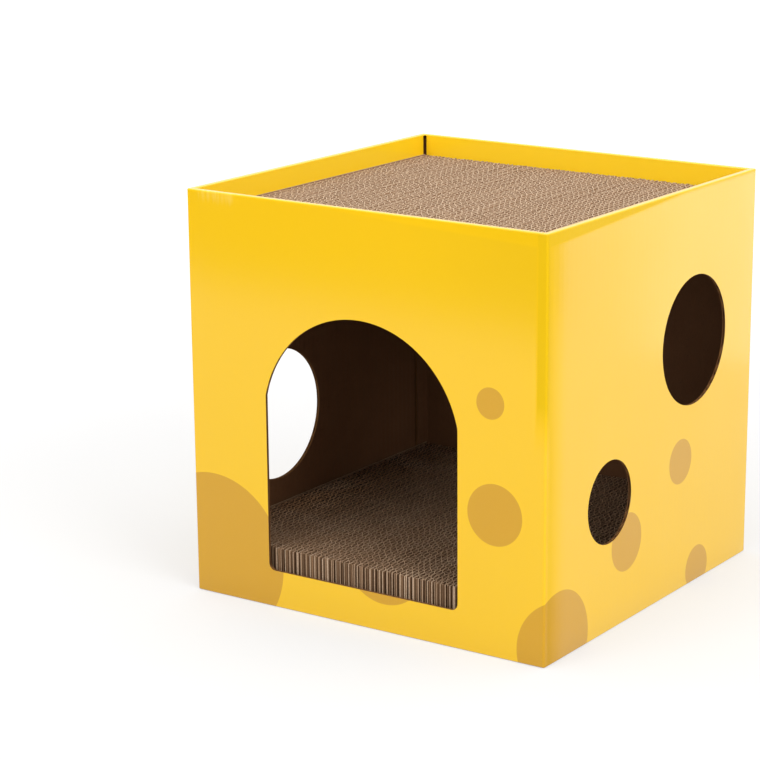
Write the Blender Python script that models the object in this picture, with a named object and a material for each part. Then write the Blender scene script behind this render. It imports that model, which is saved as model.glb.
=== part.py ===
"""Cat scratcher house: a cube folded from printed corrugated board, with an arched doorway and
round side holes, a scratch pad on its floor and a second one seated in a tray at its top.

Metres, +Z up. The origin is the centre of the underside and the doorway faces -Y.
A wall's own frame has X along the wall, to the right as seen from outside, Y inwards from its
outer face and Z up from the floor.
"""

import math

import bmesh
import bpy
from mathutils import Matrix, Vector

# Driving dimensions: the carton

WIDTH = 0.400  # outside, along X
DEPTH = 0.400  # outside, along Y
HEIGHT = 0.400  # underside to the top of the rolled rim
BOARD = 0.003  # corrugated board
GAP = 0.0003  # between pieces that touch, or that a crease or glue joins
TOE_RADIUS = 0.002  # outer edge of the floor creases
FLAP_SLOT = 0.0015  # slot cut beside each floor flap
TAB_WIDTH = 0.020  # glue tab inside the back left corner
TAB_TAPER = 0.003  # drawn in at both ends of its free edge

# Driving dimensions: the tray folded into the top

PAD_RECESS = 0.021  # rim down to the top pad
LEDGE_WIDTH = 0.035  # the part of each ledge that stands clear of its rim flap
RIM_END = 0.0045  # the rolled rim stops this far from each outer corner
CORNER_SLOT = 0.0033  # from a rim flap's end to its neighbour's inner face
SHELF_CLEARANCE = 0.0007  # around the shelf board, inside the rim flaps

# Driving dimensions: the scratch pads

PAD_THICKNESS = 0.0508
PAD_CLEARANCE = 0.0005  # around each pad, inside the rim flaps
LAYER_PITCH = 0.005  # from liner to liner, the strips standing on edge side by side
LINER = 0.0012  # two liners glued back to back
FLUTE_DEPTH = 0.002  # how deep the cut flutes are open between the liners

# Driving dimensions: the cut-outs

DOOR_WIDTH = 0.217
DOOR_OFFSET = -0.0022  # doorway centre from the middle of the front wall
DOOR_SILL = 0.0367
DOOR_HEAD = 0.021  # from the doorway's crown to the ledges above
DOOR_RISE = 0.0865  # from its springing to its crown
DOOR_FOOT_RADIUS = 0.007
BIG_HOLE_RADIUS = 0.0644  # right wall
BIG_HOLE_HEAD = 0.0039  # from the hole's top to the ledges above
BIG_HOLE_FROM_BACK = 0.1235
SMALL_HOLE_RADIUS = 0.0404  # right wall
SMALL_HOLE_HEIGHT = 0.1275
SMALL_HOLE_FROM_FRONT = 0.1153
LEFT_HOLE_RADIUS = 0.0672
LEFT_HOLE_HEIGHT = 0.1482
LEFT_HOLE_FROM_FRONT = 0.1341

# Facets

HOLE_SEGMENTS = 72
ARCH_SEGMENTS = 40
FOOT_SEGMENTS = 6
RIM_SEGMENTS = 12
CORNER_SEGMENTS = 6
TOE_SEGMENTS = 4

# Heights and offsets that follow from them

RIM_THICKNESS = 2 * BOARD + GAP
RIM_RADIUS = RIM_THICKNESS / 2
WALL_TOP = HEIGHT - RIM_RADIUS - GAP
SHELF_TOP = HEIGHT - PAD_RECESS - PAD_THICKNESS - GAP
UPPER_LEDGE_TOP = SHELF_TOP - BOARD - GAP
LOWER_LEDGE_TOP = UPPER_LEDGE_TOP - BOARD - GAP
CEILING = LOWER_LEDGE_TOP - BOARD
FLOOR_TOP = 2 * BOARD + GAP
PAD_WIDTH = WIDTH - 2 * (RIM_THICKNESS + PAD_CLEARANCE)
PAD_LENGTH = DEPTH - 2 * (RIM_THICKNESS + PAD_CLEARANCE)

# Each wall: its turn about Z, half of its length and the distance of its outer face from the middle

WALLS = {
    "front": (0, WIDTH / 2, DEPTH / 2),
    "right": (90, DEPTH / 2, WIDTH / 2),
    "back": (180, WIDTH / 2, DEPTH / 2),
    "left": (270, DEPTH / 2, WIDTH / 2),
}

# Finishes: colour, roughness

PRINTED_BOARD = ("#F8CC38", 0.30)
PLAIN_KRAFT = ("#A9835A", 0.85)
CUT_KRAFT = ("#BC9B80", 0.95)


def linear(colour):
    """The linear RGBA of an sRGB hex colour."""
    channels = [int(colour[i : i + 2], 16) / 255 for i in (1, 3, 5)]
    return [c / 12.92 if c <= 0.04045 else ((c + 0.055) / 1.055) ** 2.4 for c in channels] + [1]


def clear_scene():
    for obj in list(bpy.data.objects):
        bpy.data.objects.remove(obj, do_unlink=True)


def finish_with(obj, finish):
    """Gives the object a material of its own."""
    colour, roughness = finish
    material = bpy.data.materials.new(obj.name)
    material.use_nodes = True
    shader = material.node_tree.nodes["Principled BSDF"]
    shader.inputs["Base Color"].default_value = linear(colour)
    shader.inputs["Roughness"].default_value = roughness
    shader.inputs["Metallic"].default_value = 0
    obj.data.materials.append(material)


def add_object(name, bm):
    """An object in the scene from a bmesh, its faces turned outwards."""
    bmesh.ops.recalc_face_normals(bm, faces=bm.faces)
    mesh = bpy.data.meshes.new(name)
    bm.to_mesh(mesh)
    bm.free()
    mesh.shade_smooth()
    mesh.set_sharp_from_angle(angle=math.radians(30))
    obj = bpy.data.objects.new(name, mesh)
    bpy.context.collection.objects.link(obj)
    return obj


def prism(points, along):
    """A bmesh of the closed outline swept along a vector."""
    bm = bmesh.new()
    face = bm.faces.new([bm.verts.new(point) for point in points])
    swept = bmesh.ops.extrude_face_region(bm, geom=[face])["geom"]
    moved = [item for item in swept if isinstance(item, bmesh.types.BMVert)]
    bmesh.ops.translate(bm, verts=moved, vec=Vector(along))
    return bm


def block(low, high):
    """A bmesh of the box between two corners."""
    (x0, y0, z0), (x1, y1, z1) = low, high
    return prism([(x0, y0, z0), (x1, y0, z0), (x1, y1, z0), (x0, y1, z0)], (0, 0, z1 - z0))


def arc(centre, radius, start, end, segments):
    """Points of an arc in its plane, by angles in degrees, with both ends."""
    turns = [math.radians(start + (end - start) * i / segments) for i in range(segments + 1)]
    return [(centre[0] + radius * math.cos(t), centre[1] + radius * math.sin(t)) for t in turns]


def stand_in_wall(obj, side, inwards=0.0):
    """Places an object made in a wall's own frame, its origin this far inside the outer face."""
    turn, _, distance = WALLS[side]
    rotation = Matrix.Rotation(math.radians(turn), 4, "Z")
    obj.location = rotation @ Vector((0, inwards - distance, 0))
    obj.rotation_euler.z = math.radians(turn)


def cut(obj, name, outline):
    """Cuts an outline of (x, z) points through a wall, with a cutter in the same frame."""
    bm = prism([(x, -BOARD, z) for x, z in outline], (0, 3 * BOARD, 0))
    cutter = add_object(name, bm)
    cutter.location = obj.location
    cutter.rotation_euler = obj.rotation_euler
    cutter.hide_render = True
    cutter.display_type = "WIRE"
    modifier = obj.modifiers.new(name, "BOOLEAN")
    modifier.object = cutter
    modifier.solver = "EXACT"
    modifier.operation = "DIFFERENCE"


def round_hole(x, z, radius):
    return arc((x, z), radius, 0, 360, HOLE_SEGMENTS)[:-1]


def doorway():
    """The doorway's outline: rounded feet, straight jambs and a segmental arch."""
    half = DOOR_WIDTH / 2
    crown = CEILING - DOOR_HEAD
    radius = (half**2 + DOOR_RISE**2) / (2 * DOOR_RISE)
    spread = math.degrees(math.asin(min(1, half / radius)))
    foot = DOOR_FOOT_RADIUS
    points = arc((half - foot, DOOR_SILL + foot), foot, -90, 0, FOOT_SEGMENTS)
    points += arc((0, crown - radius), radius, 90 - spread, 90 + spread, ARCH_SEGMENTS)
    points += arc((foot - half, DOOR_SILL + foot), foot, 180, 270, FOOT_SEGMENTS)
    return [(x + DOOR_OFFSET, z) for x, z in points]


def corner_end(half):
    """Plan points of a wall's end, from the outer face round the crease to the inner corner.

    The board bends about its inner corner, and the mitre between two walls keeps the gap."""
    mitre = math.degrees(GAP / 2 / BOARD)
    bend = arc((half - BOARD, BOARD), BOARD, -90, -45 - mitre, CORNER_SEGMENTS)
    return bend + [(half - BOARD - GAP / math.sqrt(2), BOARD)]


def add_wall(side):
    half = WALLS[side][1]
    end = corner_end(half)
    plan = end + [(-x, y) for x, y in reversed(end)]
    bm = prism([(x, y, 0) for x, y in plan], (0, 0, WALL_TOP))
    inner_edge = BOARD - 1e-6
    toe = [
        edge
        for edge in bm.edges
        if all(v.co.z < 1e-6 and v.co.y < inner_edge for v in edge.verts)
    ]
    bmesh.ops.bevel(
        bm, geom=toe, offset=TOE_RADIUS, segments=TOE_SEGMENTS, profile=0.5, affect="EDGES"
    )
    wall = add_object(side + "_wall", bm)
    finish_with(wall, PRINTED_BOARD)
    stand_in_wall(wall, side)
    return wall


def add_rim_flap(side, bottom):
    """The wall's top folded over into a round rim and down inside the wall, as far as bottom."""
    half = WALLS[side][1]
    spring = HEIGHT - RIM_RADIUS
    profile = arc((RIM_RADIUS, spring), RIM_RADIUS, 180, 0, RIM_SEGMENTS)
    profile += [(RIM_THICKNESS, bottom), (BOARD + GAP, bottom), (BOARD + GAP, spring)]
    slope = (RIM_THICKNESS + CORNER_SLOT - RIM_END) / RIM_THICKNESS
    reach = [half - RIM_END - slope * y for y, _ in profile]
    bm = bmesh.new()
    first = bm.faces.new([bm.verts.new((-x, y, z)) for x, (y, z) in zip(reach, profile)])
    swept = bmesh.ops.extrude_face_region(bm, geom=[first])["geom"]
    for vert in (item for item in swept if isinstance(item, bmesh.types.BMVert)):
        vert.co.x = -vert.co.x
    flap = add_object(side + "_rim_flap", bm)
    finish_with(flap, PRINTED_BOARD)
    stand_in_wall(flap, side)
    return flap


def add_ledge(side, top, half):
    """The rim flap's lower edge creased inwards, to carry the shelf."""
    low = (-half, BOARD + GAP, top - BOARD)
    high = (half, RIM_THICKNESS + LEDGE_WIDTH, top)
    ledge = add_object(side + "_ledge", block(low, high))
    finish_with(ledge, PRINTED_BOARD)
    stand_in_wall(ledge, side)
    return ledge


def add_floor_flap(side, bottom):
    """Creased in from the wall's bottom edge to the middle. Its origin is on the crease."""
    _, half, distance = WALLS[side]
    side_room = BOARD + FLAP_SLOT
    low = (side_room - half, GAP, bottom)
    high = (half - side_room, distance - BOARD - GAP / 2, bottom + BOARD)
    flap = add_object(side + "_floor_flap", block(low, high))
    finish_with(flap, PRINTED_BOARD)
    stand_in_wall(flap, side, BOARD)
    return flap


def add_glue_tab():
    """Carries the back wall round the corner, inside the left wall, where it is glued."""
    crease = -(DEPTH / 2 - BOARD - GAP)
    low, high = FLOOR_TOP + GAP, CEILING - GAP
    outline = [
        (crease, low),
        (crease + TAB_WIDTH, low + TAB_TAPER),
        (crease + TAB_WIDTH, high - TAB_TAPER),
        (crease, high),
    ]
    tab = add_object("glue_tab", prism([(x, BOARD + GAP, z) for x, z in outline], (0, BOARD, 0)))
    finish_with(tab, PRINTED_BOARD)
    stand_in_wall(tab, "left")
    return tab


def add_shelf():
    inset = RIM_THICKNESS + SHELF_CLEARANCE
    half_x, half_y = WIDTH / 2 - inset, DEPTH / 2 - inset
    shelf = add_object("shelf_board", block((-half_x, -half_y, 0), (half_x, half_y, BOARD)))
    finish_with(shelf, PLAIN_KRAFT)
    shelf.location.z = SHELF_TOP - BOARD
    return shelf


def add_scratch_pad(name, bottom):
    """Strips of board on edge, glued face to face across X: their liners stand out as ribs
    along Y, and the cut flutes between them are open at the top, the bottom and both ends."""
    layers = round((PAD_WIDTH - LINER) / LAYER_PITCH)
    pitch = (PAD_WIDTH - LINER) / layers
    half = PAD_LENGTH / 2
    start = -PAD_WIDTH / 2
    liner = block((start, -half, 0), (start + LINER, half, PAD_THICKNESS))
    pad = add_object(name, liner)
    row = pad.modifiers.new("liners", "ARRAY")
    row.count = layers + 1
    row.use_relative_offset = False
    row.use_constant_offset = True
    row.constant_offset_displace = (pitch, 0, 0)
    inner_x, inner_y = -start - LINER / 2, half - FLUTE_DEPTH
    low = (-inner_x, -inner_y, FLUTE_DEPTH)
    high = (inner_x, inner_y, PAD_THICKNESS - FLUTE_DEPTH)
    core = add_object(name + "_core", block(low, high))
    core.hide_render = True
    core.display_type = "WIRE"
    core.location.z = bottom
    join = pad.modifiers.new("core", "BOOLEAN")
    join.object = core
    join.solver = "EXACT"
    join.operation = "UNION"
    finish_with(pad, CUT_KRAFT)
    pad.location.z = bottom
    return pad


def build():
    clear_scene()
    carton = bpy.data.objects.new("carton", None)
    bpy.context.collection.objects.link(carton)

    front, right, back, left = (add_wall(side) for side in WALLS)
    cut(front, "doorway", doorway())
    big_height = CEILING - BIG_HOLE_HEAD - BIG_HOLE_RADIUS
    cut(right, "big_hole", round_hole(DEPTH / 2 - BIG_HOLE_FROM_BACK, big_height, BIG_HOLE_RADIUS))
    small_x = SMALL_HOLE_FROM_FRONT - DEPTH / 2
    cut(right, "small_hole", round_hole(small_x, SMALL_HOLE_HEIGHT, SMALL_HOLE_RADIUS))
    left_x = DEPTH / 2 - LEFT_HOLE_FROM_FRONT
    cut(left, "left_hole", round_hole(left_x, LEFT_HOLE_HEIGHT, LEFT_HOLE_RADIUS))
    folded = [front, right, back, left, add_glue_tab()]

    # The front and back ledges lap over the ends of the left and right ones, glued into a ring
    upper_half = WIDTH / 2 - RIM_THICKNESS - GAP
    lower_half = DEPTH / 2 - BOARD - GAP
    for side in ("front", "back"):
        folded.append(add_rim_flap(side, UPPER_LEDGE_TOP + GAP))
        folded.append(add_ledge(side, UPPER_LEDGE_TOP, upper_half))
    for side in ("right", "left"):
        folded.append(add_rim_flap(side, LOWER_LEDGE_TOP + GAP))
        folded.append(add_ledge(side, LOWER_LEDGE_TOP, lower_half))

    # The left and right floor flaps fold in first and lie on the front and back ones
    for side, bottom in (("front", 0), ("back", 0), ("right", BOARD + GAP), ("left", BOARD + GAP)):
        folded.append(add_floor_flap(side, bottom))
    for piece in folded:
        piece.parent = carton

    lower_pad = add_scratch_pad("bottom_pad", FLOOR_TOP + GAP)
    lower_pad.parent = carton
    shelf = add_shelf()
    shelf.parent = carton
    top_pad = add_scratch_pad("top_pad", SHELF_TOP + GAP)
    top_pad.parent = shelf
    top_pad.location.z -= shelf.location.z


build()
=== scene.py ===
"""Looks of the cat scratcher house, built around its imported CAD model.

The carton's panels are made as the real ones are: a flat sheet of corrugated board in three
layers is die-cut and printed in its own sheet coordinates, and then folded. The scratch pads are
strips of board on edge, glued face to face.

Metres, +Z up. A panel's own frame has X along the wall, to the right as seen from outside, Y
inwards from its outer face and Z up from the floor. A flat sheet has U along the wall, V up it
and over the rim, and depth into the board from its printed face.
"""

import math
import random

import bmesh
import bpy
from bpy.props import FloatProperty, FloatVectorProperty, IntProperty, PointerProperty
from mathutils import Matrix, Vector, noise


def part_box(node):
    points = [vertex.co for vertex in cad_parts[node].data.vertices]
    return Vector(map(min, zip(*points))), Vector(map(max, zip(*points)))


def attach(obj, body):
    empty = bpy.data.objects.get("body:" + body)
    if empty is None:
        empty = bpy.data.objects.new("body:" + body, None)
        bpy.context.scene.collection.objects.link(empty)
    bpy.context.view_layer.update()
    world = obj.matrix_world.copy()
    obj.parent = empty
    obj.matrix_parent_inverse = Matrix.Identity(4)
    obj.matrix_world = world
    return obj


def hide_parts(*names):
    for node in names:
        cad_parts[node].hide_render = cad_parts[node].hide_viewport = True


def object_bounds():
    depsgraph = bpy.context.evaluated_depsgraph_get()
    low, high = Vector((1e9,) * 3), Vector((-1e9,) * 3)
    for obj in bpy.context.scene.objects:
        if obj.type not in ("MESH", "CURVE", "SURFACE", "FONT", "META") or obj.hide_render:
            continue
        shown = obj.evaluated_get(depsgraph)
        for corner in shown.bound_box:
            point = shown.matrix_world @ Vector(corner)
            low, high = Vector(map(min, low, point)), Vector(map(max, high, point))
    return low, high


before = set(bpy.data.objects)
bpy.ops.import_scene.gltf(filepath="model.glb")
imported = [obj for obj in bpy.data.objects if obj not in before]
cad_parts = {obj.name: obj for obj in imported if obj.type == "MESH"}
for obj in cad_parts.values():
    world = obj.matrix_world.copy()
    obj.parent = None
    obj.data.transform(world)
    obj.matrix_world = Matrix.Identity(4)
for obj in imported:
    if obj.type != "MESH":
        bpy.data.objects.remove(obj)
CAD_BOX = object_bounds()

bl_info = {
    "name": "Cat scratcher house",
    "version": (1, 0, 0),
    "blender": (4, 5, 0),
    "location": "3D View > Sidebar > Cat house",
    "description": "Builds a folded cardboard cat house with scratch pads around its CAD model",
    "category": "Object",
}

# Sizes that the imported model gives

LOW, HIGH = CAD_BOX
WIDTH, DEPTH, HEIGHT = HIGH - LOW
RIM_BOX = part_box("front_rim_flap")
RIM_RADIUS = (RIM_BOX[1].y - RIM_BOX[0].y) / 2
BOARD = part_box("shelf_board")[1].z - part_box("shelf_board")[0].z
RIM_SPRING = HEIGHT - RIM_RADIUS

# Each side: its turn about Z, half of its length, its outer face's distance from the middle and
# its place in the printed sheet, counted in panels from the front one

SIDES = {
    "front": (0, WIDTH / 2, DEPTH / 2, 0),
    "right": (90, DEPTH / 2, WIDTH / 2, 1),
    "back": (180, WIDTH / 2, DEPTH / 2, 2),
    "left": (270, DEPTH / 2, WIDTH / 2, -1),
}

# From one panel's middle to the next in the print, for the flaps and the tab

FLAP_PRINT = 0.3987

# How many points draw one wave of the fluting

BOARD_WAVE_POINTS = 8
PAD_WAVE_POINTS = 6

# Cut-outs, in their panel's own frame: centre X, centre Z, radius

DOOR_WIDTH = 0.217
DOOR_CENTRE = -0.0022
DOOR_SILL = 0.0367
DOOR_CROWN = 0.2973
DOOR_RISE = 0.0865
DOOR_FOOT = 0.007
ROUND_HOLES = {
    "front": [],
    "right": [(0.0765, 0.25, 0.0644), (-0.0847, 0.1275, 0.0404)],
    "back": [],
    "left": [(0.0659, 0.1482, 0.0672)],
}

# Printed dots, in their panel's own frame: centre X, centre Z, radius. The big ones near the
# front panel's ends run on round the corners.

DOTS = {
    "front": [
        (0.1413, 0.240, 0.0148),
        (0.1463, 0.1363, 0.0293),
        (0.024, 0.0747, 0.0474),
        (-0.1767, 0.040, 0.083),
    ],
    "right": [
        (-0.1755, 0.0133, 0.0532),
        (0.0533, 0.1325, 0.0226),
        (-0.0513, 0.0793, 0.0285),
        (0.0922, 0.0133, 0.0228),
    ],
    "back": [
        (-0.118, 0.262, 0.031),
        (-0.061, 0.094, 0.021),
        (0.096, 0.151, 0.043),
        (0.149, 0.297, 0.016),
        (0.021, 0.012, 0.036),
    ],
    "left": [
        (-0.121, 0.291, 0.024),
        (-0.104, 0.082, 0.045),
        (-0.022, 0.028, 0.016),
        (0.118, 0.302, 0.018),
    ],
}


def linear(colour):
    """The linear RGB of an sRGB hex colour."""
    channels = [int(colour[i : i + 2], 16) / 255 for i in (1, 3, 5)]
    return [c / 12.92 if c <= 0.04045 else ((c + 0.055) / 1.055) ** 2.4 for c in channels]


def length(name, default, description, **options):
    return FloatProperty(
        name=name, description=description, default=default, unit="LENGTH", precision=5, **options
    )


def colour(name, default, description):
    return FloatVectorProperty(
        name=name, description=description, default=linear(default), subtype="COLOR", size=3
    )


def power(name, default, description):
    return FloatProperty(name=name, description=description, default=default, unit="POWER")


class CatHouseBoard(bpy.types.PropertyGroup):
    """The corrugated board"""

    liner: length("Liner", 0.00035, "Thickness of each outer layer")
    fluting: length("Fluting", 0.00025, "Thickness of the wavy layer")
    flute_pitch: length("Flute pitch", 0.008, "Length of one wave of the wavy layer")
    corner_radius: length("Corner radius", 0.002, "Outer radius of the upright creases")
    toe_radius: length("Toe radius", 0.0012, "Outer radius of the creases at the floor")
    easing: length("Easing", 0.0003, "How far a panel draws in beside an upright crease")
    easing_reach: length("Easing reach", 0.022, "How far from the crease that starts")
    rim_crease: length("Rim crease", 0.0011, "Outer radius of the rim's two creases")
    flap_end: length("Flap end", 0.0088, "From a rim flap's end to the outer corner")


class CatHousePrint(bpy.types.PropertyGroup):
    """The carton's colours"""

    ground: colour("Ground", "#F7C506", "Printed yellow")
    dots: colour("Dots", "#D39D0B", "Printed dots")
    kraft: colour("Kraft", "#744D2F", "Unprinted liner")
    edge: colour("Cut edge", "#8F6439", "Die-cut edge of the board")


class CatHousePads(bpy.types.PropertyGroup):
    """The scratch pads"""

    layers: IntProperty(name="Layers", description="Strips of board", default=77, min=2)
    liner: length("Liners", 0.0011, "Two liners glued back to back")
    fluting: length("Fluting", 0.0009, "Thickness of the wavy layer, drawn thick enough to show")
    wave: length("Wave", 0.0097, "Length of one wave of the wavy layer")
    colour: colour("Cut kraft", "#D2B89D", "Saw-cut edge of kraft board")
    face: colour("Kraft face", "#A58262", "Face of a strip, between the cut edges")


class CatHouseStudio(bpy.types.PropertyGroup):
    """The stage"""

    key_power: power("Key", 34, "Power of the front softbox")
    fill_power: power("Fill", 63, "Power of the softbox at the right")
    top_power: power("Top", 135, "Power of the softbox overhead")
    side_power: power("Side", 0.35, "Power of the card at the back right, which gloss sees")
    ambient: FloatProperty(
        name="Ambient", description="Strength of the light from all round", default=0.87
    )


# Meshes


def spread(start, end, steps):
    """Evenly spaced positions from start to end, both included."""
    return [start + (end - start) * i / steps for i in range(steps + 1)]


def merged(*runs):
    """Positions of several runs in order, each once."""
    values = sorted(value for run in runs for value in run)
    return [b for a, b in zip([-math.inf] + values, values) if b - a > 1e-6]


def flat_sheet(us, vs):
    """A flat sheet with a vertex at each of these positions along it and up it."""
    bm = bmesh.new()
    columns, rows = len(us) - 1, len(vs) - 1
    bmesh.ops.create_grid(bm, x_segments=columns, y_segments=rows, size=1)
    for vert in bm.verts:
        i = round((vert.co.x + 1) / 2 * columns)
        j = round((vert.co.y + 1) / 2 * rows)
        vert.co = us[i], vs[j], 0
    return bm


def trim(bm, corner, outwards, us=(-1, 1), vs=(-1, 1)):
    """Cuts the faces of the flat sheet whose middles are between these positions along it and up
    it, and drops what is outwards of the cut."""
    middles = [(face, face.calc_center_median()) for face in bm.faces]
    faces = [f for f, m in middles if us[0] < m.x < us[1] and vs[0] < m.y < vs[1]]
    geom = list({item for f in faces for item in (*f.verts, *f.edges)}) + faces
    at, away = Vector((*corner, 0)), Vector((*outwards, 0))
    cut = bmesh.ops.bisect_plane(bm, geom=geom, dist=1e-7, plane_co=at, plane_no=away)["geom"]
    cut = [item for item in cut if isinstance(item, bmesh.types.BMFace)]
    gone = [face for face in cut if (face.calc_center_median() - at).dot(away) > 0]
    bmesh.ops.delete(bm, geom=gone, context="FACES")


def print_map(bm, panel_centre):
    """Keeps each corner's place in the printed sheet as its UV."""
    layer = bm.loops.layers.uv.new("sheet")
    for face in bm.faces:
        for loop in face.loops:
            loop[layer].uv = loop.vert.co.x + panel_centre, loop.vert.co.y


def new_object(name, data):
    """An object of this mesh, lamp or camera, in the scene."""
    obj = bpy.data.objects.new(name, data)
    bpy.context.scene.collection.objects.link(obj)
    return obj


def add_mesh(name, bm, materials):
    """An object in the scene from a bmesh, with smooth faces and sharp folds."""
    mesh = bpy.data.meshes.new(name)
    bm.to_mesh(mesh)
    bm.free()
    mesh.shade_smooth()
    mesh.set_sharp_from_angle(angle=math.radians(35))
    for material in materials:
        mesh.materials.append(material)
    return new_object(name, mesh)


def apply_into(bm, obj):
    """Adds the object's mesh, with its modifiers applied, to a bmesh, and removes the object."""
    graph = bpy.context.evaluated_depsgraph_get()
    mesh = bpy.data.meshes.new_from_object(obj.evaluated_get(graph))
    bm.from_mesh(mesh)
    bpy.data.meshes.remove(mesh)
    own = obj.data
    bpy.data.objects.remove(obj)
    bpy.data.meshes.remove(own)


def thicken(obj, thickness, offset, backs, rims):
    """Solidify, with the slots that its back faces and rims move on to."""
    modifier = obj.modifiers.new("thickness", "SOLIDIFY")
    modifier.thickness = thickness
    modifier.offset = offset
    modifier.use_even_offset = True
    modifier.material_offset = backs
    modifier.material_offset_rim = rims


def prism(name, points, material):
    """A cutter from an outline of (x, z) points, through a wall from front to back."""
    outside, through = 0.005, 0.014
    bm = bmesh.new()
    face = bm.faces.new([bm.verts.new((x, -outside, z)) for x, z in points])
    swept = bmesh.ops.extrude_face_region(bm, geom=[face])["geom"]
    far = [item for item in swept if isinstance(item, bmesh.types.BMVert)]
    bmesh.ops.translate(bm, verts=far, vec=(0, through, 0))
    bmesh.ops.recalc_face_normals(bm, faces=bm.faces)
    return add_mesh(name, bm, [material])


def arc(centre, radius, start, end, segments):
    """Points of an arc in its plane, by angles in degrees, with both ends."""
    turns = [math.radians(angle) for angle in spread(start, end, segments)]
    return [(centre[0] + radius * math.cos(t), centre[1] + radius * math.sin(t)) for t in turns]


def cut_outs(side, material):
    """The cutters of one wall."""
    cutters = []
    for i, (x, z, radius) in enumerate(ROUND_HOLES[side]):
        points = arc((x, z), radius, 0, 360, 120)[:-1]
        cutters.append(prism(f"{side}_hole_{i}", points, material))
    if side == "front":
        half = DOOR_WIDTH / 2
        radius = (half**2 + DOOR_RISE**2) / (2 * DOOR_RISE)
        reach = math.degrees(math.asin(half / radius))
        points = arc((half - DOOR_FOOT, DOOR_SILL + DOOR_FOOT), DOOR_FOOT, -90, 0, 8)
        points += arc((0, DOOR_CROWN - radius), radius, 90 - reach, 90 + reach, 72)
        points += arc((DOOR_FOOT - half, DOOR_SILL + DOOR_FOOT), DOOR_FOOT, 180, 270, 8)
        cutters.append(prism("doorway", [(x + DOOR_CENTRE, z) for x, z in points], material))
    return cutters


# Corrugated board


def board_layers(us, ends, vs, vs_core, shape, place, materials, cutters, centre):
    """A board of three layers in one bmesh.

    shape cuts a flat sheet and place folds it: both get the flat sheet of a layer, whose Z is
    depth. The wavy layer runs between the two ends."""
    board = bpy.context.scene.cat_house_board
    waves_from, waves_to = ends
    joined = bmesh.new()
    count = max(1, round((waves_to - waves_from) / board.flute_pitch))
    pitch = (waves_to - waves_from) / count
    room = 0.00004
    swing = (BOARD - 2 * board.liner - board.fluting) / 2 - room
    waves = spread(waves_from, waves_to, count * BOARD_WAVE_POINTS)
    inside = [u for u in us if waves_from - 1e-6 < u < waves_to + 1e-6]
    layers = [
        ("outer", us, vs, 0.0, 0, 1, 2),
        ("inner", inside, vs_core, BOARD, 1, 0, 1),
        ("fluting", waves, vs_core, BOARD / 2, 2, 0, 0),
    ]
    for name, columns, rows, depth, slot, backs, rims in layers:
        bm = flat_sheet(columns, rows)
        shape(bm, name)
        print_map(bm, centre)
        for vert in bm.verts:
            vert.co.z = depth
            if name == "fluting" and waves_from <= vert.co.x <= waves_to:
                turn = 2 * math.pi * (vert.co.x - waves_from) / pitch
                vert.co.z += swing * math.sin(turn)
        place(bm, name)
        for face in bm.faces:
            face.material_index = slot
        if name == "inner":
            bmesh.ops.reverse_faces(bm, faces=bm.faces)
        layer = add_mesh("layer_" + name, bm, materials)
        paper = (board.fluting, 0) if name == "fluting" else (board.liner, -1)
        thicken(layer, *paper, backs, rims)
        for cutter in cutters:
            modifier = layer.modifiers.new(cutter.name, "BOOLEAN")
            modifier.object = cutter
            modifier.solver = "EXACT"
            modifier.operation = "DIFFERENCE"
            modifier.material_mode = "TRANSFER"
        apply_into(joined, layer)
    for cutter in cutters:
        bpy.data.objects.remove(cutter)
    return joined


def board_materials():
    """The carton's materials: its printed face, its inner face and its cut edges."""
    return [printed_varnish(), kraft_liner(), cut_board()]


def set_down(bm, name, matrix, materials, body, nodes):
    """Puts a finished piece in place, on its body and for its CAD nodes."""
    bmesh.ops.transform(bm, matrix=matrix, verts=bm.verts)
    if matrix.determinant() < 0:
        bmesh.ops.reverse_faces(bm, faces=bm.faces)
    piece = add_mesh(name, bm, materials)
    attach(piece, body)
    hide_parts(*nodes)


def clear_pieces(*names):
    """Removes the pieces of an earlier run."""
    for name in names:
        if name in bpy.data.objects:
            bpy.data.objects.remove(bpy.data.objects[name])


def across(side):
    """The axis that runs through a wall: Y at the front and the back, X at the sides."""
    return 1 if side in ("front", "back") else 0


def half_run(side):
    """Half of a panel's length in the flat sheet, to the middle of its corner's bend."""
    radius = bpy.context.scene.cat_house_board.corner_radius
    return SIDES[side][1] - radius + radius * math.pi / 4


def wall_matrix(side, inwards=0.0):
    """From a panel's own frame to the house's, with the panel moved inwards."""
    turn, _, distance, _ = SIDES[side]
    turned = Matrix.Rotation(math.radians(turn), 4, "Z")
    return turned @ Matrix.Translation((0, inwards - distance, 0))


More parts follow.
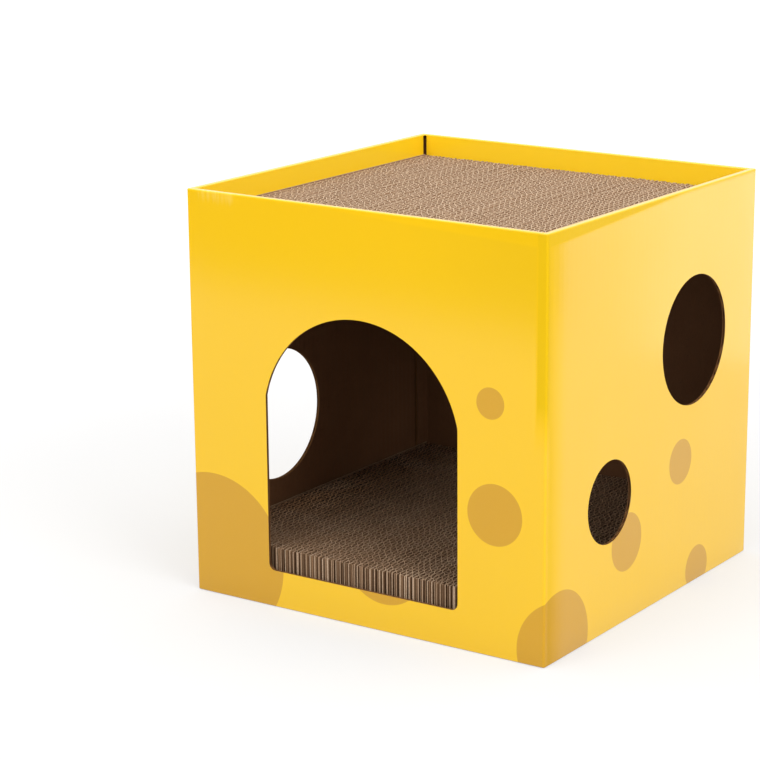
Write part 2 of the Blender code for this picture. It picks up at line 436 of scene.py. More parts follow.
def fold_panel(side):
    """The function that folds a wall's flat sheet: round both corners, over the rim, down inside
    the wall and in at the ledge."""
    board = bpy.context.scene.cat_house_board
    _, half, distance, _ = SIDES[side]
    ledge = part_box(side + "_ledge")
    top = ledge[1].z
    corner = board.corner_radius
    straight = half - corner
    rim_end = RIM_SPRING + math.pi * RIM_RADIUS
    tuck = 0.00015
    crease = rim_end + RIM_SPRING - top - tuck
    crease_end = crease + math.pi / 2 * tuck

    def eased(u):
        """How far the panel draws in here, beside an upright crease."""
        beside = max(0.0, 1 - (half - abs(u)) / board.easing_reach)
        return board.easing * (0.8 * beside + 0.2 * beside**2)

    def over_rim(v, d, layer):
        """Across and up to a point of the rim: the outer layer has two creases and a flat top,
        and the others roll inside it."""
        share = (v - RIM_SPRING) / (rim_end - RIM_SPRING)
        reach = RIM_RADIUS - d
        if layer != "outer":
            turn = math.pi * share
            return RIM_RADIUS - reach * math.cos(turn), RIM_SPRING + reach * math.sin(turn)
        radius = board.rim_crease
        flank = RIM_RADIUS - radius
        bend = radius * math.pi / 2
        along = share * (4 * flank + 2 * bend)
        mirror = along > 2 * flank + bend
        if mirror:
            along = 4 * flank + 2 * bend - along
        if along <= flank:
            y, z = d, RIM_SPRING + along
        elif along <= flank + bend:
            turn = (along - flank) / radius
            y = radius - (radius - d) * math.cos(turn)
            z = RIM_SPRING + flank + (radius - d) * math.sin(turn)
        else:
            y, z = radius + along - flank - bend, RIM_SPRING + RIM_RADIUS - d
        return 2 * RIM_RADIUS - y if mirror else y, z

    def fold(bm, layer):
        """Moves the flat sheet's vertices to where the folded panel has them."""
        for vert in bm.verts:
            u, v, d = vert.co
            ease = eased(u)
            if v <= rim_end:
                if v > RIM_SPRING:
                    ease *= 1 - (v - RIM_SPRING) / (rim_end - RIM_SPRING)
                    d, v = over_rim(v, d, layer)
                elif layer == "outer" and v < board.toe_radius:
                    toe = board.toe_radius
                    d += toe - math.sqrt(max(0.0, toe**2 - (toe - v) ** 2))
                turn = max(0.0, abs(u) - straight) / corner
                x = min(abs(u), straight) + (corner - d) * math.sin(turn) - ease
                y = corner - (corner - d) * math.cos(turn) + ease
                vert.co = math.copysign(x, u), y, v
            elif v <= crease:
                vert.co = u, 2 * RIM_RADIUS - d, RIM_SPRING - (v - rim_end)
            elif v <= crease_end:
                turn = (v - crease) / tuck
                y = 2 * RIM_RADIUS + tuck - (tuck + d) * math.cos(turn)
                vert.co = u, y, top + tuck - (tuck + d) * math.sin(turn)
            else:
                vert.co = u, 2 * RIM_RADIUS + tuck + v - crease_end, top - d

    reach = distance - min(abs(point[across(side)]) for point in ledge)
    end = crease_end + reach - 2 * RIM_RADIUS - tuck
    return fold, over_rim, rim_end, crease, crease_end, end


def build_panel(side):
    """A wall with its rolled rim, rim flap and ledge, in one folded sheet."""
    board = bpy.context.scene.cat_house_board
    _, half, _, place_in_sheet = SIDES[side]
    straight = half - board.corner_radius
    run = half_run(side)
    fold, over_rim, rim_end, crease, crease_end, end = fold_panel(side)
    flank = RIM_RADIUS - board.rim_crease
    scale = (rim_end - RIM_SPRING) / (4 * flank + board.rim_crease * math.pi)
    to_mitre = flank + board.rim_crease * (math.pi / 2 - 1) + board.corner_radius
    mitre_from = RIM_SPRING + to_mitre * scale
    mitre_to = rim_end - flank * scale
    cap = RIM_SPRING + (to_mitre - 0.0001) * scale
    flap_from = half - board.flap_end
    ledge_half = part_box(side + "_ledge")[1][1 - across(side)]

    near = spread(straight, half - board.easing_reach, 8)
    bend = spread(straight, run, 5)
    us = merged([-u for u in near + bend], near + bend, spread(-near[-1], near[-1], 20))
    toe = [board.toe_radius * k for k in (0, 0.06, 0.2, 0.42, 0.7, 1)]
    under_rim = [RIM_SPRING - k for k in (0.036, 0.026, 0.018, 0.012, 0.008, 0.006, 0.003, 0)]
    wall = spread(board.toe_radius, under_rim[0], 14)
    over = merged(
        spread(RIM_SPRING, rim_end, 28),
        [cap, mitre_from, mitre_to],
        spread(rim_end, crease, 6),
        spread(crease, crease_end, 3),
        spread(crease_end, end, 3),
    )
    vs = merged(toe, wall, under_rim, over)
    vs_core = merged(spread(board.toe_radius, under_rim[0], 7), under_rim, over)

    def shape(bm, layer):
        """Cuts the sheet so that the rims' outer layers meet in mitres, and the flaps, the
        ledges and the layers inside the rims end short of the corners."""
        mitre = [v for v in vs if mitre_from - 1e-9 < v < mitre_to + 1e-9]
        top = mitre_to if layer == "outer" else RIM_SPRING
        for sign in (-1, 1):
            beyond = (0, 1) if sign > 0 else (-1, 0)
            bend = (straight, 1) if sign > 0 else (-1, -straight)
            trim(bm, (0, cap), (0, 1), bend, (cap, 1))
            for a, b in zip(mitre, mitre[1:]):
                inset = over_rim(a, 0, "outer")[0]
                tilt = Vector((b - a, over_rim(b, 0, "outer")[0] - inset)).normalized()
                trim(bm, (sign * (half - inset), a), (sign * tilt.x, tilt.y), beyond, (a, b))
            trim(bm, (sign * flap_from, 0), (sign, 0), beyond, (top, crease_end))
            trim(bm, (sign * ledge_half, 0), (sign, 0), beyond, (crease_end, end))

    materials = board_materials()
    ends = -straight, straight
    cutters = cut_outs(side, materials[2])
    centre = place_in_sheet * 2 * run
    bm = board_layers(us, ends, vs, vs_core, shape, fold, materials, cutters, centre)
    nodes = [side + "_wall", side + "_rim_flap", side + "_ledge"]
    name = side + "_panel"
    set_down(bm, name, wall_matrix(side), materials, "carton", nodes)


def laid_flat(start, floor):
    """Lays a board down, printed side under, from start inwards and from floor up."""
    return Matrix(((1, 0, 0, 0), (0, 0, 1, start), (0, 1, 0, floor), (0, 0, 0, 1)))


def build_flat(name, node, extent, corners, matrix, body, materials, centre):
    """A flat board of three layers. extent is its lowest and highest corner in its own sheet,
    and corners are the outline that it is cut to, or none for a rectangle."""
    (u0, v0), (u1, v1) = extent

    def shape(bm, _):
        middle = Vector(((u0 + u1) / 2, (v0 + v1) / 2))
        for a, b in zip(corners, corners[1:] + corners[:1]):
            run = Vector(b) - Vector(a)
            out = Vector((run.y, -run.x)).normalized()
            if out.dot(Vector(a) - middle) < 0:
                out.negate()
            trim(bm, a, out)

    step = 0.04
    us = spread(u0, u1, max(2, round((u1 - u0) / step)))
    vs = spread(v0, v1, max(2, round((v1 - v0) / step)))

    def place(bm, _):
        for vert in bm.verts:
            u, v, d = vert.co
            vert.co = u, d, v

    bm = board_layers(us, (u0, u1), vs, vs, shape, place, materials, [], centre)
    set_down(bm, name, matrix, materials, body, [node])


# Materials


def add(tree, kind, inputs=None, **settings):
    """Adds a node and gives its first output in use. Its inputs go by name or number: one given
    as a socket is linked, and any other is set."""
    node = tree.nodes.new("ShaderNode" + kind)
    for name, value in settings.items():
        setattr(node, name, value)
    for key, value in (inputs or {}).items():
        named = (s for s in node.inputs if s.enabled and s.name == key)
        socket = node.inputs[key] if isinstance(key, int) else next(named)
        if isinstance(value, bpy.types.NodeSocket):
            tree.links.new(value, socket)
        else:
            socket.default_value = (*value[:3], 1) if socket.type == "RGBA" else value
    return next((s for s in node.outputs if s.enabled), None)


def made_once(name):
    """Turns a function that adds nodes to a tree and gives their shader into one that gives the
    material of this name, made once a session."""

    def wrap(finish):
        def made():
            if name not in bpy.data.materials:
                new = bpy.data.materials.new(name)
                new.use_nodes = True
                new.node_tree.nodes.clear()
                add(new.node_tree, "OutputMaterial", {"Surface": finish(new.node_tree)})
            return bpy.data.materials[name]

        return made

    return wrap


def tinted(tree, tone, *layers):
    """The tone with tints laid over it. Each layer has a pattern, the two values of the pattern
    between which the tint comes in, its greatest share and its colour."""
    for pattern, low, high, share, tint in layers:
        limits = {"Value": pattern, "From Min": low, "From Max": high, "To Max": share}
        amount = add(tree, "MapRange", limits)
        tone = add(
            tree, "Mix", {"Factor": amount, "A": tone, "B": linear(tint)}, data_type="RGBA"
        )
    return tone


def flute_wave(tree, along):
    """The wave of the flutes along the sheet, -1 to 1, which shows through both liners."""
    pitch = bpy.context.scene.cat_house_board.flute_pitch
    turn = add(tree, "Math", {0: along, 1: 2 * math.pi / pitch}, operation="MULTIPLY")
    return add(tree, "Math", {0: turn}, operation="SINE")


def dot_mask(tree, sheet):
    """1 inside the printed dots, with a sharp edge in which the ink spreads by 0.2 mm."""
    ink_spread = 0.0002
    mask = None
    for side, dots in DOTS.items():
        for x, z, radius in dots:
            centre = (x + SIDES[side][3] * 2 * half_run(side), z, 0)
            away = add(tree, "VectorMath", {0: sheet, 1: centre}, operation="DISTANCE")
            limits = {"From Min": radius + ink_spread, "From Max": radius - ink_spread}
            dot = add(tree, "MapRange", {"Value": away, **limits})
            if mask is None:
                mask = dot
            else:
                mask = add(tree, "Math", {0: mask, 1: dot}, operation="MAXIMUM")
    return mask


def rim_wrinkles(tree, sheet, parts):
    """The height of the wrinkles 3 mm apart that hang from the rolled rim in places, where the
    outer liner is stretched, and all along the front wall's left end."""
    stretched = add(tree, "VectorMath", {0: sheet, 1: (1.0, 0.12, 1.0)}, operation="MULTIPLY")
    creases = add(tree, "TexNoise", {"Vector": stretched, "Scale": 330.0, "Detail": 1.5})
    limits = {"From Min": RIM_SPRING - 0.016, "From Max": RIM_SPRING - 0.002}
    under_rim = add(tree, "MapRange", {"Value": parts["Y"], **limits})
    limits = {"From Min": RIM_SPRING + 0.022, "From Max": RIM_SPRING + 0.009}
    past_rim = add(tree, "MapRange", {"Value": parts["Y"], **limits})
    near_rim = add(tree, "Math", {0: under_rim, 1: past_rim}, operation="MULTIPLY")
    patches = add(tree, "TexNoise", {"Vector": sheet, "Scale": 14.0, "Detail": 0.0})
    patches = add(
        tree, "MapRange", {"Value": patches, "From Min": 0.5, "From Max": 0.6, "To Max": 0.3}
    )
    left_end = (0.035 - WIDTH / 2, RIM_SPRING, 0)
    left_end = add(tree, "VectorMath", {0: sheet, 1: left_end}, operation="DISTANCE")
    left_end = add(tree, "MapRange", {"Value": left_end, "From Min": 0.028, "From Max": 0.018})
    patches = add(tree, "Math", {0: patches, 1: left_end}, operation="MAXIMUM")
    near_rim = add(tree, "Math", {0: near_rim, 1: patches}, operation="MULTIPLY")
    return add(tree, "Math", {0: creases, 1: near_rim}, operation="MULTIPLY")


def worn_varnish_and_painted_shade(tree, parts):
    """The varnish that is left, and painted shade that darkens the print. The varnish is cracked
    and dull below the rim's outer crease and along the upright creases, worst around the front
    right corner's upper half."""
    panel = half_run("front")
    from_corner = add(tree, "Math", {0: parts["X"], 1: panel}, operation="SUBTRACT")
    away = add(tree, "Math", {0: from_corner}, operation="ABSOLUTE")
    # A dull band below the rim's outer crease, which reaches lowest at that corner
    band = add(
        tree, "MapRange", {"Value": away, "From Max": 0.25, "To Min": 0.010, "To Max": -0.001}
    )
    band = add(tree, "Math", {0: parts["Y"], 1: band}, operation="ADD")
    limits = {"From Min": RIM_SPRING - 0.0015, "From Max": RIM_SPRING + 0.001}
    dull = add(tree, "MapRange", {"Value": band, **limits, "To Min": 1.0, "To Max": 0.1})
    # Cracks along every upright crease, and a worn strip around that corner, whose left side
    # keeps its varnish below mid height
    beside = add(tree, "Math", {0: from_corner, 1: panel}, operation="PINGPONG")
    cracked = add(
        tree, "MapRange", {"Value": beside, "From Min": 0.0014, "From Max": 0.0024, "To Min": 0.1}
    )
    lower_half = add(tree, "MapRange", {"Value": parts["Y"], "From Min": 0.25, "From Max": 0.20})
    kept = add(tree, "MapRange", {"Value": from_corner, "From Min": 0.007, "From Max": 0.0})
    kept = add(tree, "Math", {0: lower_half, 1: kept}, operation="MULTIPLY")
    strip_side = {"Value": from_corner, "From Min": -0.012, "From Max": -0.009}
    left_worn = add(tree, "MapRange", {**strip_side, "To Min": 1, "To Max": 0.1})
    left_worn = add(tree, "Math", {0: left_worn, 1: kept}, operation="MAXIMUM")
    right_worn = add(
        tree,
        "MapRange",
        {"Value": from_corner, "From Min": 0.002, "From Max": 0.034, "To Min": 0.1, "To Max": 1},
    )
    worn = add(tree, "Math", {0: left_worn, 1: right_worn}, operation="MAXIMUM")
    cracked = add(tree, "Math", {0: cracked, 1: worn}, operation="MINIMUM")
    kept = add(tree, "Math", {0: kept, 1: 0.75}, operation="MULTIPLY")
    cracked = add(tree, "Math", {0: cracked, 1: kept}, operation="MAXIMUM")
    dull = add(tree, "Math", {0: dull, 1: cracked}, operation="MINIMUM")
    # Over the rim it is whole again
    limits = {"From Min": RIM_SPRING + 0.0016, "From Max": RIM_SPRING + 0.0024, "To Max": 0.9}
    over = add(tree, "MapRange", {"Value": parts["Y"], **limits})
    varnish = add(tree, "Math", {0: dull, 1: over}, operation="ADD")
    # Painted shade: the print is darker where the varnish has gone around that corner, and
    # softly at its top
    painted_corner_shade = add(tree, "MapRange", {"Value": varnish, "From Min": 0.7, "From Max": 0.1})
    painted_corner_shade = add(tree, "Math", {0: painted_corner_shade, 1: 2.0}, operation="POWER")
    in_strip = add(tree, "MapRange", strip_side)
    painted_corner_shade = add(tree, "Math", {0: painted_corner_shade, 1: in_strip}, operation="MULTIPLY")
    # Painted shade, softly, over the top of the walls near that corner
    painted_top_shade = add(tree, "MapRange", {"Value": away, "From Min": 0.15, "From Max": 0.0, "To Max": 0.6})
    high = add(tree, "MapRange", {"Value": parts["Y"], "From Min": 0.27, "From Max": 0.36})
    painted_top_shade = add(tree, "Math", {0: painted_top_shade, 1: high}, operation="MULTIPLY")
    painted_corner_shade = add(tree, "Math", {0: painted_corner_shade, 1: painted_top_shade}, operation="MAXIMUM")
    return varnish, painted_corner_shade


@made_once("Gloss varnished print")
def printed_varnish(tree):
    """Offset-printed liner under a gloss varnish, laid on corrugated board.

    The ink is an even yellow with ochre dots, and the varnish gives a clear reflection over it,
    which the flutes ripple faintly and which breaks up in fine wrinkles under the rolled rim.
    Its colour also holds a painted highlight along the wrinkles, painted shade around the front
    right corner, and painted light that makes the flaps inside the rim a shade lighter."""
    colours = bpy.context.scene.cat_house_print
    sheet = add(tree, "UVMap", uv_map="sheet")
    parts = add(tree, "SeparateXYZ", {"Vector": sheet}).node.outputs
    mask = dot_mask(tree, sheet)

    # Ink density drifts over a hand's width, and the paper's fibres show as fine specks
    drift = add(tree, "TexNoise", {"Vector": sheet, "Scale": 9.0, "Detail": 2.0})
    specks = add(tree, "TexNoise", {"Vector": sheet, "Scale": 900.0, "Detail": 3.0})
    ground = add(
        tree, "Mix", {"Factor": mask, "A": colours.ground, "B": colours.dots}, data_type="RGBA"
    )
    tints = (drift, 0.3, 0.7, 0.05, "#E8AE12"), (specks, 0.55, 0.8, 0.10, "#FFD440")
    ground = tinted(tree, ground, *tints)

    # Flutes telegraph through the liner every flute pitch
    flutes = add(tree, "MapRange", {"Value": flute_wave(tree, parts["X"]), "From Min": -1.0})
    washboard = add(tree, "Bump", {"Strength": 0.05, "Distance": 0.0003, "Height": flutes})

    # Wrinkles under the rim, bumped, with a painted highlight that pales the print along them
    wrinkles = rim_wrinkles(tree, sheet, parts)
    wrinkled = add(
        tree,
        "Bump",
        {"Strength": 0.35, "Distance": 0.0012, "Height": wrinkles, "Normal": washboard},
    )
    # Painted highlight along the wrinkles
    ground = tinted(tree, ground, (wrinkles, 0.25, 0.7, 0.3, "#FFE27A"))

    # Liner surface: pulp unevenness about 6 mm across
    pulp = add(tree, "TexNoise", {"Vector": sheet, "Scale": 160.0, "Detail": 4.0})
    normal = add(
        tree, "Bump", {"Strength": 0.05, "Distance": 0.0004, "Height": pulp, "Normal": wrinkled}
    )
    # Painted shade: the print is darker where the varnish has gone around the front right corner
    varnish, painted_corner_shade = worn_varnish_and_painted_shade(tree, parts)
    ground = add(
        tree,
        "Mix",
        {"Factor": painted_corner_shade, "A": ground, "B": linear("#F0F4FF")},
        data_type="RGBA",
        blend_type="MULTIPLY",
    )
    # Painted light: the flaps inside the rim are a shade lighter
    painted_flap_light = (parts["Y"], RIM_SPRING + 0.006, RIM_SPRING + 0.010, 0.9, "#FBCF1C")
    ground = tinted(tree, ground, painted_flap_light)
    gloss = add(
        tree,
        "MapRange",
        {"Value": drift, "From Min": 0.3, "From Max": 0.7, "To Min": 0.42, "To Max": 0.52},
    )
    return add(
        tree,
        "BsdfPrincipled",
        {
            "Base Color": ground,
            "Roughness": gloss,
            "Specular IOR Level": 0.1,
            "Coat Weight": varnish,
            "Coat Roughness": 0.14,
            "Coat IOR": 1.5,
            "Normal": normal,
            "Coat Normal": normal,
        },
    )


@made_once("Kraft liner")
def kraft_liner(tree):
    """Unbleached kraft liner, machine-finished: matt brown with long fibres and darker flecks."""
    sheet = add(tree, "UVMap", uv_map="sheet")
    stretched = add(tree, "VectorMath", {0: sheet, 1: (1.0, 0.16, 1.0)}, operation="MULTIPLY")
    fibres = add(
        tree, "TexNoise", {"Vector": stretched, "Scale": 1400.0, "Detail": 5.0, "Roughness": 0.65}
    )
    cloud = add(tree, "TexNoise", {"Vector": sheet, "Scale": 38.0, "Detail": 3.0})
    flecks = add(tree, "TexNoise", {"Vector": sheet, "Scale": 700.0, "Detail": 1.0})
    tone = tinted(
        tree,
        bpy.context.scene.cat_house_print.kraft,
        (fibres, 0.35, 0.7, 0.5, "#5A381E"),
        (cloud, 0.3, 0.7, 0.25, "#7D5636"),
        (flecks, 0.68, 0.75, 0.5, "#452A14"),
    )
    flutes = flute_wave(tree, add(tree, "SeparateXYZ", {"Vector": sheet}))
    washboard = add(tree, "Bump", {"Strength": 0.35, "Distance": 0.0003, "Height": flutes})
    normal = add(
        tree, "Bump", {"Strength": 0.2, "Distance": 0.0002, "Height": fibres, "Normal": washboard}
    )
    return add(
        tree,
        "BsdfPrincipled",
        {"Base Color": tone, "Roughness": 0.82, "Specular IOR Level": 0.3, "Normal": normal},
    )


@made_once("Die-cut corrugated edge")
def cut_board(tree):
    """Fluting and die-cut edges of corrugated board: raw, fibrous and slightly crushed."""
    place = add(tree, "TexCoord").node.outputs["Object"]
    fibres = add(tree, "TexNoise", {"Vector": place, "Scale": 1100.0, "Detail": 4.0})
    edge = bpy.context.scene.cat_house_print.edge
    tone = tinted(tree, edge, (fibres, 0.35, 0.7, 0.6, "#7D5630"))
    normal = add(tree, "Bump", {"Strength": 0.4, "Distance": 0.0003, "Height": fibres})
    return add(
        tree,
        "BsdfPrincipled",
        {"Base Color": tone, "Roughness": 0.9, "Specular IOR Level": 0.2, "Normal": normal},
    )


@made_once("Sawn kraft board")
def sawn_kraft(tree):
    """Kraft board sawn across its flutes: pale fuzzy edges, each strip of its own tone."""
    place = add(tree, "TexCoord").node.outputs["Object"]
    strip = add(tree, "Attribute", attribute_name="strip_tone_and_shade").node.outputs["Fac"]
    fuzz = add(
        tree, "TexNoise", {"Vector": place, "Scale": 800.0, "Detail": 4.0, "Roughness": 0.6}
    )
    worn = add(tree, "TexNoise", {"Vector": place, "Scale": 30.0, "Detail": 4.0})
    # The strip tone holds each strip's random tone and, on the floor pad, painted shade and light
    tone = tinted(
        tree,
        bpy.context.scene.cat_house_pads.colour,
        (strip, 0.0, 8.0, 0.96, "#946D4A"),
        (fuzz, 0.35, 0.65, 0.5, "#7E5E40"),
        (worn, 0.45, 0.7, 0.35, "#C4A88B"),
    )
    normal = add(tree, "Bump", {"Strength": 0.5, "Distance": 0.0004, "Height": fuzz})
    return add(
        tree,
        "BsdfPrincipled",
        {"Base Color": tone, "Roughness": 0.95, "Specular IOR Level": 0.15, "Normal": normal},
    )


@made_once("Kraft strip face")
def strip_face(tree):
    """Kraft liner and fluting between the sawn edges: smoother and darker than the cut."""
    place = add(tree, "TexCoord").node.outputs["Object"]
    stretched = add(tree, "VectorMath", {0: place, 1: (1.0, 0.2, 1.0)}, operation="MULTIPLY")
    fibres = add(tree, "TexNoise", {"Vector": stretched, "Scale": 900.0, "Detail": 4.0})
    strip = add(tree, "Attribute", attribute_name="strip_tone_and_shade").node.outputs["Fac"]
    face = bpy.context.scene.cat_house_pads.face
    # The strip tone darkens the faces too: random per strip, and painted shade on the floor pad
    tints = (fibres, 0.35, 0.7, 0.5, "#7E5D40"), (strip, 0.0, 8.7, 1.0, "#3A2415")
    tone = tinted(tree, face, *tints)
    return add(
        tree, "BsdfPrincipled", {"Base Color": tone, "Roughness": 0.85, "Specular IOR Level": 0.2}
    )


def backdrop_light(tree):
    """1 for the rays that see the backdrop: from the camera, and off gloss and through glass."""
    ray = add(tree, "LightPath").node.outputs
    seen = add(
        tree, "Math", {0: ray["Is Camera Ray"], 1: ray["Is Glossy Ray"]}, operation="MAXIMUM"
    )
    return add(tree, "Math", {0: seen, 1: ray["Is Transmission Ray"]}, operation="MAXIMUM")


@made_once("Seamless paper")
def floor_paper(tree):
    """White seamless paper: matt, and lit so that it runs into the white background."""
    place = add(tree, "TexCoord").node.outputs["Object"]
    away = add(tree, "VectorMath", {0: place}, operation="LENGTH")
    glow = add(
        tree,
        "MapRange",
        {"Value": away, "From Min": 0.35, "From Max": 3.0, "To Min": 0.45, "To Max": 0.8},
        interpolation_type="SMOOTHSTEP",
    )
    strength = add(tree, "Math", {0: glow, 1: backdrop_light(tree)}, operation="MULTIPLY")
    light = add(tree, "Emission", {"Color": (1, 1, 1, 1), "Strength": strength})
    matt = add(tree, "BsdfDiffuse", {"Color": (0.4, 0.4, 0.4, 1)})
    return add(tree, "AddShader", {0: light, 1: matt})


@made_once("Black felt")
def black_felt(tree):
    """Black felt: the nap swallows almost all light."""
    place = add(tree, "TexCoord").node.outputs["Object"]
    nap = add(tree, "TexNoise", {"Vector": place, "Scale": 600.0})
    black, grey = linear("#0C0C0D"), linear("#161617")
    tone = add(tree, "Mix", {"Factor": nap, "A": black, "B": grey}, data_type="RGBA")
    return add(
        tree, "BsdfPrincipled", {"Base Color": tone, "Roughness": 1.0, "Specular IOR Level": 0.0}
    )


# Operators


class CATHOUSE_OT_stage(bpy.types.Operator):
    """Sets up the floor, the light and the camera"""

    bl_idname = "cat_house.stage"
    bl_label = "Stage"

    def execute(self, context):
        studio = context.scene.cat_house_studio
        context.scene.view_settings.view_transform = "Standard"

        bm = bmesh.new()
        bmesh.ops.create_circle(bm, cap_ends=True, segments=64, radius=9)
        bmesh.ops.translate(bm, verts=bm.verts, vec=(0, 0, -0.0003))
        add_mesh("floor", bm, [floor_paper()])

        world = bpy.data.worlds.new("Studio")
        context.scene.world = world
        world.use_nodes = True
        tree = world.node_tree
        tree.nodes.clear()
        seen = {"Value": backdrop_light(tree), "To Min": studio.ambient}
        strength = add(tree, "MapRange", seen)
        light = add(tree, "Background", {"Color": (1, 1, 1, 1), "Strength": strength})
        add(tree, "OutputWorld", {"Surface": light})

        middle = (0, 0, 0.2)
        add_softbox("key_softbox", (-0.8, -3.4, 2.3), middle, 2.4, 2.4, studio.key_power)
        add_softbox("fill_softbox", (3.4, -1.1, 2.3), middle, 2.4, 2.4, studio.fill_power)
        add_softbox("top_softbox", (0.3, -0.65, 4.8), middle, 6.4, 6.4, studio.top_power)
        card = add_softbox(
            "gloss_card", (0.46, 0.95, 0.2), (0.2, 0.2, 0.2), 0.5, 0.4, studio.side_power
        )
        card.visible_diffuse = False
        add_flag("floor_flag", (-2.6, -2.9, 0.002), (1.2, -1.3, 0.002))
        add_flag("standing_flag", (0.95, 0.0, 0.0), (1.0, 1.05, 0.5), standing=True)
        add_camera()
        return {"FINISHED"}


def add_softbox(name, place, target, width, height, power):
    """A soft lamp that gloss reflects and the camera doesn't see."""
    data = bpy.data.lights.new(name, "AREA")
    data.shape = "RECTANGLE"
    data.size, data.size_y = width, height
    data.energy = power
    lamp = new_object(name, data)
    lamp.location = place
    lamp.rotation_euler = (Vector(target) - Vector(place)).to_track_quat("-Z", "Y").to_euler()
    lamp.visible_camera = False
    return lamp


def add_flag(name, low, high, standing=False):
    """A black card between two corners, which only gloss sees, to keep its colour deep."""
    bm = bmesh.new()
    bmesh.ops.create_grid(bm, x_segments=1, y_segments=1, size=0.5)
    if standing:
        bmesh.ops.rotate(bm, verts=bm.verts, matrix=Matrix.Rotation(math.pi / 2, 3, "Y"))
    low, high = Vector(low), Vector(high)
    bmesh.ops.scale(bm, verts=bm.verts, vec=high - low)
    bmesh.ops.translate(bm, verts=bm.verts, vec=(low + high) / 2)
    flag = add_mesh(name, bm, [black_felt()])
    for kind in ("camera", "diffuse", "shadow", "transmission", "volume_scatter"):
        setattr(flag, "visible_" + kind, False)


def add_camera():
    """The photograph's camera: 32 degrees to the right of the doorway and 15.6 above."""
    data = bpy.data.cameras.new("photo_camera")
    data.sensor_width = 36
    data.lens = 117.227
    data.shift_x, data.shift_y = -0.17105, 0.05263
    camera = new_object("photo_camera", data)
    azimuth, elevation, roll = (math.radians(a) for a in (31.980083, 15.584075, 0.307061))
    flat = math.cos(elevation)
    back = Vector((math.sin(azimuth) * flat, -math.cos(azimuth) * flat, math.sin(elevation)))
    right = Vector((0, 0, 1)).cross(back).normalized()
    up = back.cross(right)
    c, s = math.cos(roll), math.sin(roll)
    axes = Matrix((c * right + s * up, c * up - s * right, back)).transposed()
    camera.matrix_world = Matrix.LocRotScale(
        Vector((1.283664, -1.996246, 0.818643)), axes.to_quaternion(), None
    )
    bpy.context.scene.camera = camera


class CATHOUSE_OT_panels(bpy.types.Operator):
    """Folds the four walls with their rims, rim flaps and ledges"""

    bl_idname = "cat_house.panels"
    bl_label = "Wall panels"

    def execute(self, context):
        clear_pieces(*(side + "_panel" for side in SIDES))
        for side in SIDES:
            build_panel(side)
        return {"FINISHED"}


class CATHOUSE_OT_floor_flaps(bpy.types.Operator):
    """Lays the four floor flaps, printed side down"""

    bl_idname = "cat_house.floor_flaps"
    bl_label = "Floor flaps"

    def execute(self, context):
        clear_pieces(*(side + "_base_flap" for side in SIDES))
        for side, (_, _, distance, place) in SIDES.items():
            node = side + "_floor_flap"
            low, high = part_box(node)
            inwards, along = across(side), 1 - across(side)
            half_span = (high[along] - low[along]) / 2
            start = distance - max(abs(low[inwards]), abs(high[inwards]))
            build_flat(
                side + "_base_flap",
                node,
                ((-half_span, 0), (half_span, high[inwards] - low[inwards])),
                [],
                wall_matrix(side) @ laid_flat(start, low.z),
                node if inwards else "carton",
                board_materials(),
                place * FLAP_PRINT,
            )
        return {"FINISHED"}


class CATHOUSE_OT_glue_tab(bpy.types.Operator):
    """Adds the glue tab inside the back left corner"""

    bl_idname = "cat_house.glue_tab"
    bl_label = "Glue tab"

    def execute(self, context):
        clear_pieces("seam_tab")
        low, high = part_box("glue_tab")
        left, right = -high.y, -low.y
        taper = 0.003
        corners = [(left, low.z), (right, low.z + taper), (right, high.z - taper), (left, high.z)]
        build_flat(
            "seam_tab",
            "glue_tab",
            ((left, low.z), (right, high.z)),
            corners,
            wall_matrix("left", WIDTH / 2 + low.x),
            "carton",
            board_materials(),
            -FLAP_PRINT,
        )
        return {"FINISHED"}


class CATHOUSE_OT_shelf(bpy.types.Operator):
    """Adds the loose shelf board under the top pad"""

    bl_idname = "cat_house.shelf"
    bl_label = "Shelf board"

    def execute(self, context):
        clear_pieces("loose_shelf")
        low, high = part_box("shelf_board")
        build_flat(
            "loose_shelf",
            "shelf_board",
            ((low.x, low.y), (high.x, high.y)),
            [],
            laid_flat(0, low.z),
            "shelf",
            [kraft_liner(), kraft_liner(), cut_board()],
            0,
        )
        return {"FINISHED"}


class CATHOUSE_OT_scratch_pads(bpy.types.Operator):
    """Glues up the two scratch pads from strips of board on edge"""

    bl_idname = "cat_house.scratch_pads"
    bl_label = "Scratch pads"

    def execute(self, context):
        clear_pieces("top_scratcher", "floor_scratcher")
        build_pad("top_scratcher", "top_pad", 7, 0)
        # The floor pad is darkened with painted shade
        build_pad("floor_scratcher", "bottom_pad", 11, 5)
        return {"FINISHED"}


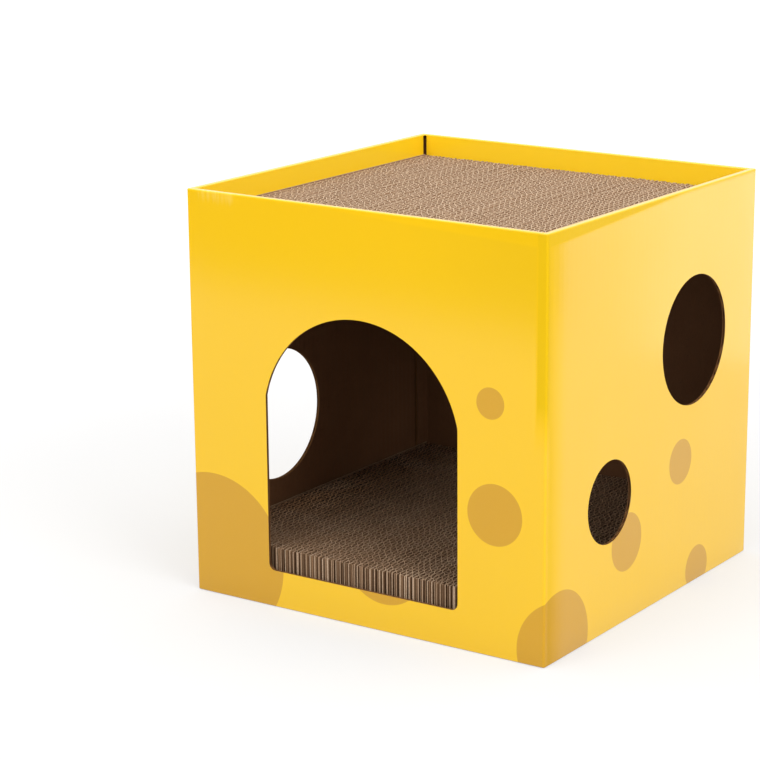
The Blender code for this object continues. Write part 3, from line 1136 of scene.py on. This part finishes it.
def build_pad(name, node, seed, painted_pad_shade):
    """Straight double liners along Y with a wavy layer between each two, all the pad's height.
    The last argument deepens the strips' tone as painted shade: the floor pad is darker
    all over, and darker still along the left wall, away from the doorway. Its front end is
    lighter again, by a random share for each strip: painted light."""
    pads = bpy.context.scene.cat_house_pads
    low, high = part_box(node)
    draw = random.Random(seed)
    front_draw = random.Random(seed + 1)
    # Each strip's share of painted light at the pad's front end, random from strip to strip
    painted_end_light = [painted_pad_shade * front_draw.uniform(0.0, 1.1) for _ in range(pads.layers + 1)]
    # What the strips stay clear of the pad's box by, across it and up, and of each other
    inset, sunk, glue = 0.0002, 0.0001, 0.00003
    # How far a liner wanders, and how often in a metre
    wander, bends = 0.00015, 30
    # The painted shade's reach from the left wall, and where it starts and how it comes in from
    # the front
    wall_shade_reach, wall_shade_from, wall_shade_fade, painted_wall_shade = 0.1, 0.03, 0.08, 0.8 * painted_pad_shade
    pitch = (high.x - low.x - pads.liner - 2 * inset) / pads.layers
    first = low.x + inset + pads.liner / 2
    swing = (pitch - pads.liner - pads.fluting) / 2 - glue
    joined = bmesh.new()

    for kind in ("liners", "fluting"):
        bm = bmesh.new()
        tone = bm.verts.layers.float.new("strip_tone_and_shade")
        for k in range(pads.layers + (kind == "liners")):
            outermost = kind == "liners" and k in (0, pads.layers)
            # Each strip's tone: a random share on top of the pad's painted shade
            shade = 0 if outermost else painted_pad_shade + draw.random()
            sink = 0 if outermost else draw.uniform(0.0002, 0.0005)
            lengthwise = 0 if outermost else draw.uniform(0, 0.0014)
            if kind == "liners":
                steps = 20
                phase = draw.uniform(0, 50)
            else:
                wave = pads.wave * draw.uniform(0.98, 1.02)
                count = (high.y - low.y) / wave
                steps = round(count * PAD_WAVE_POINTS)
                phase = draw.uniform(0, 2 * math.pi)
            ends = (low.y + inset + lengthwise, high.y - inset - lengthwise)
            verts = []
            for y in spread(*ends, steps):
                if kind == "liners":
                    x = first + k * pitch + wander * noise.noise((y * bends, phase, k))
                    x = min(max(x, first), first + pads.layers * pitch)
                else:
                    turn = 2 * math.pi * (y - low.y) / wave + phase
                    x = first + (k + 0.5) * pitch + swing * math.sin(turn)
                verts.append(bm.verts.new((x, y, low.z + sunk)))
                beside_wall = max(0, 1 - (x - low.x) / wall_shade_reach)
                inside = min(max(0, (y - low.y - wall_shade_from) / wall_shade_fade), 1)
                # Painted shade along the left wall, coming in from the front
                verts[-1][tone] = shade + painted_wall_shade * beside_wall * inside
            # Painted light: the strip's front end is lighter by its random share
            verts[0][tone] = max(0, shade - painted_end_light[k])
            edges = [bm.edges.new(pair) for pair in zip(verts, verts[1:])]
            risen = bmesh.ops.extrude_edge_only(bm, edges=edges)["geom"]
            top = [item for item in risen if isinstance(item, bmesh.types.BMVert)]
            tall = high.z - low.z - 2 * sunk - sink
            bmesh.ops.translate(bm, verts=top, vec=(0, 0, tall))
            if not outermost:
                for vert in top:
                    vert.co.z -= draw.uniform(0, 0.0008)
        strips = add_mesh("strips", bm, [])
        thicken(strips, pads.liner if kind == "liners" else pads.fluting, 0, 0, 0)
        apply_into(joined, strips)
    bmesh.ops.recalc_face_normals(joined, faces=joined.faces)
    for face in joined.faces:
        cut = abs(face.normal.z) > 0.75 or abs(face.normal.y) > 0.8
        face.material_index = 0 if cut else 1
    materials = [sawn_kraft(), strip_face()]
    set_down(joined, name, Matrix.Identity(4), materials, node, [node])


class CATHOUSE_PT_parts(bpy.types.Panel):
    """The parts of the cat house"""

    bl_label = "Cat house"
    bl_space_type = "VIEW_3D"
    bl_region_type = "UI"
    bl_category = "Cat house"

    def draw(self, context):
        for group, cls in SETTINGS.items():
            box = self.layout.box()
            for name in cls.__annotations__:
                box.prop(getattr(context.scene, group), name)
        for operator in OPERATORS:
            self.layout.operator(operator.bl_idname)


SETTINGS = {
    "cat_house_board": CatHouseBoard,
    "cat_house_print": CatHousePrint,
    "cat_house_pads": CatHousePads,
    "cat_house_studio": CatHouseStudio,
}
OPERATORS = (
    CATHOUSE_OT_stage,
    CATHOUSE_OT_panels,
    CATHOUSE_OT_floor_flaps,
    CATHOUSE_OT_glue_tab,
    CATHOUSE_OT_shelf,
    CATHOUSE_OT_scratch_pads,
)


def register():
    for cls in (*SETTINGS.values(), *OPERATORS, CATHOUSE_PT_parts):
        bpy.utils.register_class(cls)
    for name, cls in SETTINGS.items():
        setattr(bpy.types.Scene, name, PointerProperty(type=cls))


def unregister():
    for name in SETTINGS:
        delattr(bpy.types.Scene, name)
    for cls in reversed((*SETTINGS.values(), *OPERATORS, CATHOUSE_PT_parts)):
        bpy.utils.unregister_class(cls)


def main():
    register()
    bpy.ops.cat_house.stage()
    bpy.ops.cat_house.panels()
    bpy.ops.cat_house.floor_flaps()
    bpy.ops.cat_house.glue_tab()
    bpy.ops.cat_house.shelf()
    bpy.ops.cat_house.scratch_pads()


if __name__ == "__main__":
    main()
